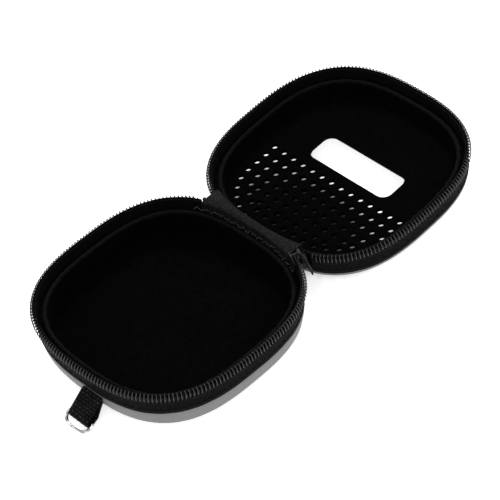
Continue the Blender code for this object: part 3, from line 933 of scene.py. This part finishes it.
def make_fold(name, right_x, left_x, inset, bottom, thickness, material, slot, nodes):
    """A strip that lines both halves behind the hinge and arches across the gap, lower at its ends."""
    theta = even_angles(angle_at(right_x), angle_at(left_x), 0.45)
    drop = BASE_DEPTH - HINGE.z
    heights = np.linspace(bottom, -drop, 12)
    lid_heights = np.linspace(RIM_TO_AXIS, bottom, 14)
    half_thick = thickness / 2
    sides = np.linspace(-1, 1, len(theta))[:, None]
    rise = FOLD_RISE * (1 - 0.6 * sides ** 4) * np.array((0, 0, 1.0))
    loops = []
    for side in (1, -1):
        line = []
        for z in heights[:-1]:
            line.append(base_place(ring(theta, inset - side * half_thick, z)) / MM)
        near = base_place(ring(theta, inset, -drop)) / MM
        far = lid_place(ring(theta, inset, RIM_TO_AXIS)) / MM
        middle, arm = (near + far) / 2, (far - near) / 2
        reach = np.linalg.norm(arm, axis=1, keepdims=True)
        for a in np.linspace(math.pi, 0, 13):
            scale = (reach - side * half_thick) / reach
            line.append(middle + arm * math.cos(a) * scale + rise * reach * scale * math.sin(a))
        for z in lid_heights[1:]:
            line.append(lid_place(ring(theta, inset - side * half_thick, z)) / MM)
        loops.append(np.stack(line, 1))
    grid = np.concatenate([loops[0], loops[1][:, ::-1]], 1)
    fold = grid_object(name, grid, lambda p: np.asarray(p) * MM, False, True, 60)
    dress(fold, None, material, slot, *nodes)
    reach = inset - (HINGE_REACH - HINGE.y)
    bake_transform(fold)


def make_hinge_stitches():
    """Uneven tacking threads, above the base's piping, that hold the ribbon down."""
    random = np.random.default_rng(5)
    thetas = even_angles(angle_at(TACKS_REACH), angle_at(-TACKS_REACH), 0.62)
    jitter = random.uniform(-1, 1, (len(thetas), 2))
    rows = [(t, 2.35 + 0.35 * a, -3.7 + 0.75 * b) for t, (a, b) in zip(thetas, jitter)]
    tacks = stitch_mesh("base_ribbon_tacks", BASE, rows, 0.45, 0.2, 0.8)
    dress(tacks, "base", BRIGHT_THREAD, "black_thread")


# Strap and D-ring

STRAP_X = 6.5
STRAP_HALF_WIDTH = 5.0
RING_AXIS = (-50.9, -18.0)
STRAP_TURN = 1.55
WEB_HALF = 0.42
RING_HALF_WIDTH = 6.1
RING_DEPTH = 4.7
RING_WIRE = 0.6
RING_BOW_POWER = 0.6


def strap_line():
    """Centre line of the webbing in (y, z): out of the seam, round the D-ring's bar and back."""
    turns = np.radians(np.linspace(137.0, 317.0, 22))
    loop = [(RING_AXIS[0] + STRAP_TURN * math.cos(a), RING_AXIS[1] + STRAP_TURN * math.sin(a)) for a in turns]
    upper = [(-43.9, -11.35), (-44.6, -11.4), (-45.2, -11.8)]
    lower = [(-47.6, -18.0), (-46.7, -16.6), (-45.4, -14.6), (-44.5, -13.3), (-43.9, -12.6)]
    points = np.array(upper + loop + lower)
    lengths = run_lengths(points, False)
    even = np.linspace(0, lengths[-1], int(lengths[-1] / 0.2))
    return points_at(even, lengths, points), even


def make_strap():
    """Webbing loop whose surface is woven in ribs with a chevron step from one rib to the next."""
    line, even = strap_line()
    for _ in range(6):
        line[1:-1] = (line[:-2] + 2 * line[1:-1] + line[2:]) / 4
    tangent = unit(np.gradient(line, axis=0))
    normal = np.stack([-tangent[:, 1], tangent[:, 0]], -1)
    across = np.linspace(-1, 1, 53) * STRAP_HALF_WIDTH
    u, v = np.meshgrid(even, across, indexing="ij")
    rib = np.abs(np.sin((v + STRAP_HALF_WIDTH) * math.pi))
    chevron = np.abs(np.sin((u / 1.25 + 0.5 * (np.floor(v + STRAP_HALF_WIDTH) % 2)) * math.pi))
    edge = np.clip((STRAP_HALF_WIDTH - np.abs(v)) / 0.5, 0, 1) ** 0.5
    thick = WEB_HALF * (0.35 + 0.65 * edge) + 0.20 * (rib * chevron - 0.5) * edge
    sheets = []
    for side in (1, -1):
        y = line[:, 0][:, None] + side * normal[:, 0][:, None] * thick
        z = line[:, 1][:, None] + side * normal[:, 1][:, None] * thick
        sheets.append(np.stack([np.broadcast_to(across + STRAP_X, y.shape), y, z], -1))
    grid = np.concatenate([sheets[0], sheets[1][:, ::-1]], 1)
    strap = grid_object("strap_webbing", grid, BASE["place"], False, True, 70)
    dress(strap, "base", WEBBING, "webbing", "strap_loop")


def make_ring():
    """Bent wire with its joint in the straight bar, held by the strap."""
    drop = RING_AXIS[1] + BASE_DEPTH - RING_WIRE - 0.05
    droop = math.asin(drop / RING_DEPTH)
    turns = np.linspace(math.pi, 0, 60)
    bow = [(RING_HALF_WIDTH * math.copysign(abs(math.cos(a)) ** RING_BOW_POWER, math.cos(a)),
            RING_DEPTH * math.sin(a)) for a in turns]
    bar = [(x, 0.0) for x in np.linspace(RING_HALF_WIDTH, -RING_HALF_WIDTH, 30)[1:-1]]
    path = np.array(bow + bar)
    for _ in range(5):
        path = (np.roll(path, 1, 0) + 2 * path + np.roll(path, -1, 0)) / 4
    lengths = run_lengths(path, True)
    path = points_at(np.linspace(0, lengths[-1], 97)[:-1], lengths, np.concatenate([path, path[:1]]))
    flat = np.stack([path[:, 0], -path[:, 1] * math.cos(droop), -path[:, 1] * math.sin(droop)], -1)
    tangent = unit(np.roll(flat, -1, 0) - np.roll(flat, 1, 0))
    up = np.tile((0.0, -math.sin(droop), math.cos(droop)), (len(flat), 1))
    side = np.cross(tangent, up)
    radii = RING_WIRE * np.ones(len(flat))
    grid = tube_grid(flat, radii, radii, side, up, 18) + np.array((STRAP_X, *RING_AXIS))
    ring_obj = grid_object("d_ring_wire", grid, BASE["place"], True, True, 60)
    dress(ring_obj, "ring", CHROME, "chrome", "d_ring")


# Slider and pull

SLIDER_X = 25.2
SLIDER_PLATES = ((1.3, 2.0), (-2.4, -1.7))
PULL_EYE = (0.3, 2.4, 0.8)
PULL_THICKNESS = (2.3, 2.8)


def plate(name, place, axes, outline, holes, low, high, chamfer, inside_hole):
    """A flat plate between two heights along the third axis, from an outline that goes round it."""
    bm = bmesh.new()
    points, triangles, index = panel_triangles(outline, holes, inside_hole, 1.0)
    loops = [outline] + holes
    starts = np.cumsum([0] + [len(loop) for loop in loops])
    verts, faces = [], []
    for height, z in ((0, low), (1, high)):
        start = len(verts)
        verts += [(x, y, z) for x, y in points]
        faces += [[start + v for v in t] for t in triangles]
    size = len(points)
    for begin, loop in zip(starts, loops):
        for i in range(len(loop)):
            a, b = index[begin + i], index[begin + (i + 1) % len(loop)]
            faces.append([a, b, size + b, size + a])
    for vert in verts:
        bm.verts.new(vert)
    bm.verts.ensure_lookup_table()
    for face in faces:
        bm.faces.new([bm.verts[v] for v in face])
    bmesh.ops.recalc_face_normals(bm, faces=bm.faces)
    bmesh.ops.dissolve_limit(bm, angle_limit=0.01, verts=bm.verts, edges=bm.edges)
    sharp = [e for e in bm.edges if len(e.link_faces) == 2 and e.calc_face_angle(0) > 1.0]
    bmesh.ops.bevel(bm, geom=sharp, offset=chamfer, segments=2, affect="EDGES", profile=0.5)
    made, kept = taken(bm, place, axes)
    return make_object(name, base_place(made), kept)


def rounded_polygon(corners, radius):
    """A polygon's corners replaced by arcs that start a radius away from each."""
    points = []
    count = len(corners)
    for i in range(count):
        before, here, after = (np.array(corners[(i + k) % count], float) for k in (-1, 0, 1))
        a = here + (before - here) / np.linalg.norm(before - here) * radius
        b = here + (after - here) / np.linalg.norm(after - here) * radius
        for t in np.linspace(0, 1, 5):
            points.append(tuple((1 - t) ** 2 * a + 2 * t * (1 - t) * here + t ** 2 * b))
    return points


def make_slider():
    """Two shaped plates and the post between them, with the arch that holds the pull."""
    place, (along, normal, up) = zip_frame(angle_at(SLIDER_X))
    shape = rounded_polygon([(-3.1, -1.9), (-2.3, -2.7), (0.6, -2.7), (3.1, -1.9), (3.1, 1.9), (0.6, 2.7),
                             (-2.3, 2.7), (-3.1, 1.9), (-2.4, 0.0)], 0.6)
    plates = [plate("slider_plate", place, (along, up, normal), shape, [], low, high, 0.18, no_hole)
              for low, high in SLIDER_PLATES]
    axes = (along, normal, up)
    pieces = [block(place, axes, (-3.0, -2.3, -0.25), (-2.2, 1.9, 0.3), 0.12)]
    for sign in (1, -1):
        low, high = sorted((sign * 2.45, sign * 2.8))
        pieces.append(block(place, axes, (-2.1, 0.75, low), (0.5, 1.7, high), 0.12))
    arch = [(-1.5, 1.8), (-1.5, 2.7), (-1.3, 3.15), (-0.8, 3.4), (0.8, 3.4), (1.3, 3.15), (1.5, 2.7),
            (1.5, 1.8)]
    path = np.array([place + along * t + normal * n for t, n in arch])
    tangent = unit(np.gradient(path, axis=0))
    ups = np.tile(up, (len(path), 1))
    side = np.cross(tangent, ups)
    wide = np.ones(len(path))
    tube = tube_grid(path, 0.3 * wide, 0.5 * wide, side, ups, 12)
    parts = plates + [make_object("slider_part", base_place(v), f, None, 50) for v, f in pieces]
    parts.append(grid_object("slider_arch", tube, BASE["place"], False, True, 50))
    slider = joined("slider_body", parts)
    dress(slider, "slider", LACQUER, "black_metal", "zip_slider")


def make_pull():
    """Tapered pull plate with the eye that hangs on the slider's arch."""
    place, (along, normal, up) = zip_frame(angle_at(SLIDER_X))
    outline = rounded_polygon([(-0.25, -1.4), (3.2, -1.5), (4.8, -1.15), (8.9, -1.4), (9.0, 0.0), (8.9, 1.4),
                               (4.8, 1.15), (3.2, 1.5), (-0.25, 1.4)], 0.5)
    near, far, tall = PULL_EYE
    eye = rounded_polygon([(near, -tall), (far, -tall), (far, tall), (near, tall)], 0.35)
    slot = rounded_polygon([(5.6, -0.55), (7.9, -0.65), (7.9, 0.65), (5.6, 0.55)], 0.4)

    def in_hole(x, y):
        return near < x < far and abs(y) < tall or 5.6 < x < 7.9 and abs(y) < 0.58

    pull = plate("pull_tab", place, (along, up, normal), outline, [eye, slot], *PULL_THICKNESS, 0.08, in_hole)
    dress(pull, "pull", LACQUER, "black_metal", "zip_pull")


# Build

make_base_shell()
make_lid_shell()
make_lining(BASE, "base_lining_fleece", -16.3, 0.0, 2.6, [], no_hole, "base_lining")
lid_lining_floor = -LID_DEPTH + LID_DOME + 1.0
lid_holes = [circle(x, y, HOLE_RADIUS - 0.03, HOLE_SIDES) for x, y in HOLES] + [window_loop(-0.05)]
make_lining(LID, "lid_lining_fleece", lid_lining_floor, LID_DOME, 1.9, lid_holes, in_lid_hole, "lid_lining")
make_base_pad()
# Where the tape and the coil start on the right of the hinge, as x, and the coil's first turn.
for half, tape_x, coil_x, phase in ((BASE, 22.0, 22.3, 0.0), (LID, 24.5, 24.5, 0.5)):
    make_tape(half, tape_x)
    make_coil(half, coil_x, phase)
    make_seam(half, coil_x)
    make_stop(half)
    make_piping(half)
make_fold("hinge_cloth_fold", 20.9, -21.5, 0.8, -10.9, 0.55, HINGE_CLOTH, "hinge_cloth",
          ("base_hinge_cloth", "lid_hinge_cloth"))
make_fold("hinge_ribbon_fold", 21.4, -24.0, 1.65, -5.9, 0.5, RIBBON, "ribbon",
          ("base_hinge_ribbon", "lid_hinge_ribbon"))
make_hinge_stitches()
make_strap()
make_ring()
make_slider()
make_pull()


# Floor, light and camera

# Painted shade on the floor under the lid, which moves with it: its middle and its half lengths, in
# millimetres.
LID_SHADE = ((-4.0, 69.0, 0.0), (36.0, 24.0, 24.0))
FLOOR_GLOW = 0.55


def make_stage():
    mesh = bpy.data.meshes.new("floor")
    mesh.from_pydata([(-4, -4, 0), (4, -4, 0), (4, 4, 0), (-4, 4, 0)], [], [(0, 1, 2, 3)])
    floor = bpy.data.objects.new("floor", mesh)
    bpy.context.scene.collection.objects.link(floor)
    paper = Graph("pale_paper", (0.9, 0.9, 0.9), 0.9, specular=0.0)
    place = paper.object_mm(bpy.data.objects["lid_shell_skin"])
    shifted = paper.add("VectorMath", {0: place, 1: LID_SHADE[0]}, operation="SUBTRACT")
    scaled = paper.add("VectorMath", {0: shifted, 1: LID_SHADE[1]}, operation="DIVIDE")
    reach = paper.add("VectorMath", {0: scaled}, output=1, operation="LENGTH")
    lit = paper.add("MapRange", {"Value": reach, "From Min": 0.55, "From Max": 1.15},
                    interpolation_type="SMOOTHSTEP")
    # Painted shade: the floor's colour and glow fall away inside the ellipsoid under the lid, measured in the
    # lid's own frame.
    paper.tint(lit, (0.10, 0.10, 0.10), (0.9, 0.9, 0.9))
    paper.set(paper.shader, {"Emission Color": (1, 1, 1, 1),
                             "Emission Strength": paper.math("MULTIPLY", lit, FLOOR_GLOW)})
    mesh.materials.append(paper.material)


def add_area(name, place, aim, size, watts):
    light = bpy.data.lights.new(name, "AREA")
    light.shape = "DISK"
    light.size = size
    light.energy = watts
    obj = bpy.data.objects.new(name, light)
    bpy.context.scene.collection.objects.link(obj)
    obj.location = place
    obj.rotation_mode = "QUATERNION"
    obj.rotation_quaternion = (Vector(aim) - Vector(place)).to_track_quat("-Z", "Y")


WORLD_STRENGTH = 0.8
LIGHT_AIM = (0, 0.04, 0)


def make_world():
    world = bpy.data.worlds.new("studio")
    bpy.context.scene.world = world
    world.use_nodes = True
    world.node_tree.nodes["Background"].inputs[0].default_value = (1, 1, 1, 1)
    world.node_tree.nodes["Background"].inputs[1].default_value = WORLD_STRENGTH


CAMERA_PLACE = Vector((0.47473, -0.33439, 0.61730))
CAMERA_LOOK = Vector((-0.55362, 0.43673, -0.70906))
CAMERA_ROLL = math.radians(-9.12)
CAMERA_LENS = 168.5


def make_camera():
    data = bpy.data.cameras.new("camera")
    camera = bpy.data.objects.new("camera", data)
    bpy.context.scene.collection.objects.link(camera)
    data.lens = CAMERA_LENS
    data.sensor_width = 36
    data.clip_start, data.clip_end = 0.01, 20
    camera.location = CAMERA_PLACE
    camera.rotation_mode = "QUATERNION"
    camera.rotation_quaternion = CAMERA_LOOK.to_track_quat("-Z", "Y") @ Quaternion((0, 0, 1), CAMERA_ROLL)
    bpy.context.scene.camera = camera


make_stage()
make_world()
add_area("key", (-0.5, 0.55, 0.9), LIGHT_AIM, 0.5, 9)
add_area("fill", (0.7, -0.5, 0.8), LIGHT_AIM, 0.8, 5)
make_camera()
bpy.context.scene.view_settings.view_transform = "Standard"
